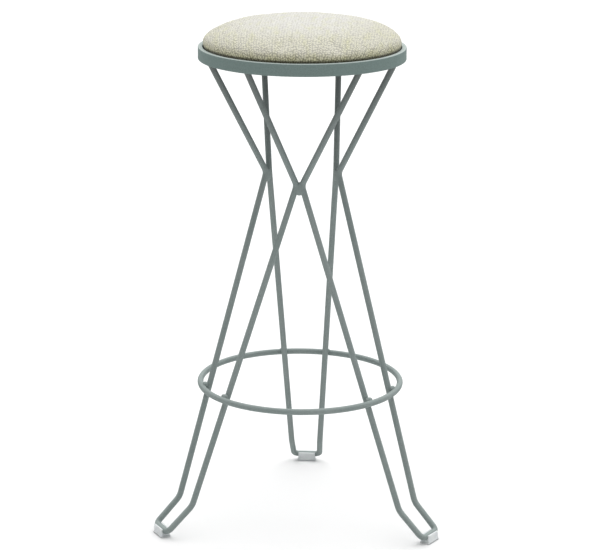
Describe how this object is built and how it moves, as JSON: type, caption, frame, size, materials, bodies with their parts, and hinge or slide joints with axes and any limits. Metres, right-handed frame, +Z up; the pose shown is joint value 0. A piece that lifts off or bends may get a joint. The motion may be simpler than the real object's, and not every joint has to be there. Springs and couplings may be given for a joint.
{
  "type": "bar stool",
  "caption": "Backless bar stool with a round padded seat in a flat-bar hoop, an hourglass frame of bent steel rod hairpin legs and a round footrest ring",
  "frame": {"origin": "middle of the footprint's box on the floor, directly under the middle of the object's bounding box", "axes": "+Z up; +Y towards the back leg; +X to the right seen from the front, where the two other legs stand"},
  "size_m": [0.4762, 0.4398, 0.85],
  "materials": {
    "frame_powder_coat": "satin grey-green powder coat on steel",
    "glide_plastic": "pale grey slightly see-through moulded plastic",
    "zinc_steel": "zinc-plated steel",
    "dust_cover_felt": "thin black non-woven dust cover",
    "plywood": "raw birch plywood",
    "seat_foam": "moulded seat foam, hidden inside the cover",
    "seat_fabric": "pale cream upholstery fabric with a fine woven texture"
  },
  "bodies": {
    "root": {"leg_left": "frame_powder_coat", "glide_left": "glide_plastic", "hoop_weld_left_a": "frame_powder_coat", "footrest_weld_left_a": "frame_powder_coat", "hoop_weld_left_b": "frame_powder_coat", "footrest_weld_left_b": "frame_powder_coat", "leg_right": "frame_powder_coat", "glide_right": "glide_plastic", "hoop_weld_right_a": "frame_powder_coat", "footrest_weld_right_a": "frame_powder_coat", "hoop_weld_right_b": "frame_powder_coat", "footrest_weld_right_b": "frame_powder_coat", "leg_back": "frame_powder_coat", "glide_back": "glide_plastic", "hoop_weld_back_a": "frame_powder_coat", "footrest_weld_back_a": "frame_powder_coat", "hoop_weld_back_b": "frame_powder_coat", "footrest_weld_back_b": "frame_powder_coat", "seat_hoop": "frame_powder_coat", "footrest_ring": "frame_powder_coat", "waist_weld_front": "frame_powder_coat", "seat_tab_front": "frame_powder_coat", "seat_tab_weld_front": "frame_powder_coat", "seat_screw_front": "zinc_steel", "seat_washer_front": "zinc_steel", "seat_nut_front": "zinc_steel", "waist_weld_right": "frame_powder_coat", "seat_tab_right": "frame_powder_coat", "seat_tab_weld_right": "frame_powder_coat", "seat_screw_right": "zinc_steel", "seat_washer_right": "zinc_steel", "seat_nut_right": "zinc_steel", "waist_weld_left": "frame_powder_coat", "seat_tab_left": "frame_powder_coat", "seat_tab_weld_left": "frame_powder_coat", "seat_screw_left": "zinc_steel", "seat_washer_left": "zinc_steel", "seat_nut_left": "zinc_steel", "seat_dust_cover": "dust_cover_felt", "seat_board": "plywood", "seat_foam": "seat_foam", "seat_cover": "seat_fabric"}
  },
  "joints": []
}
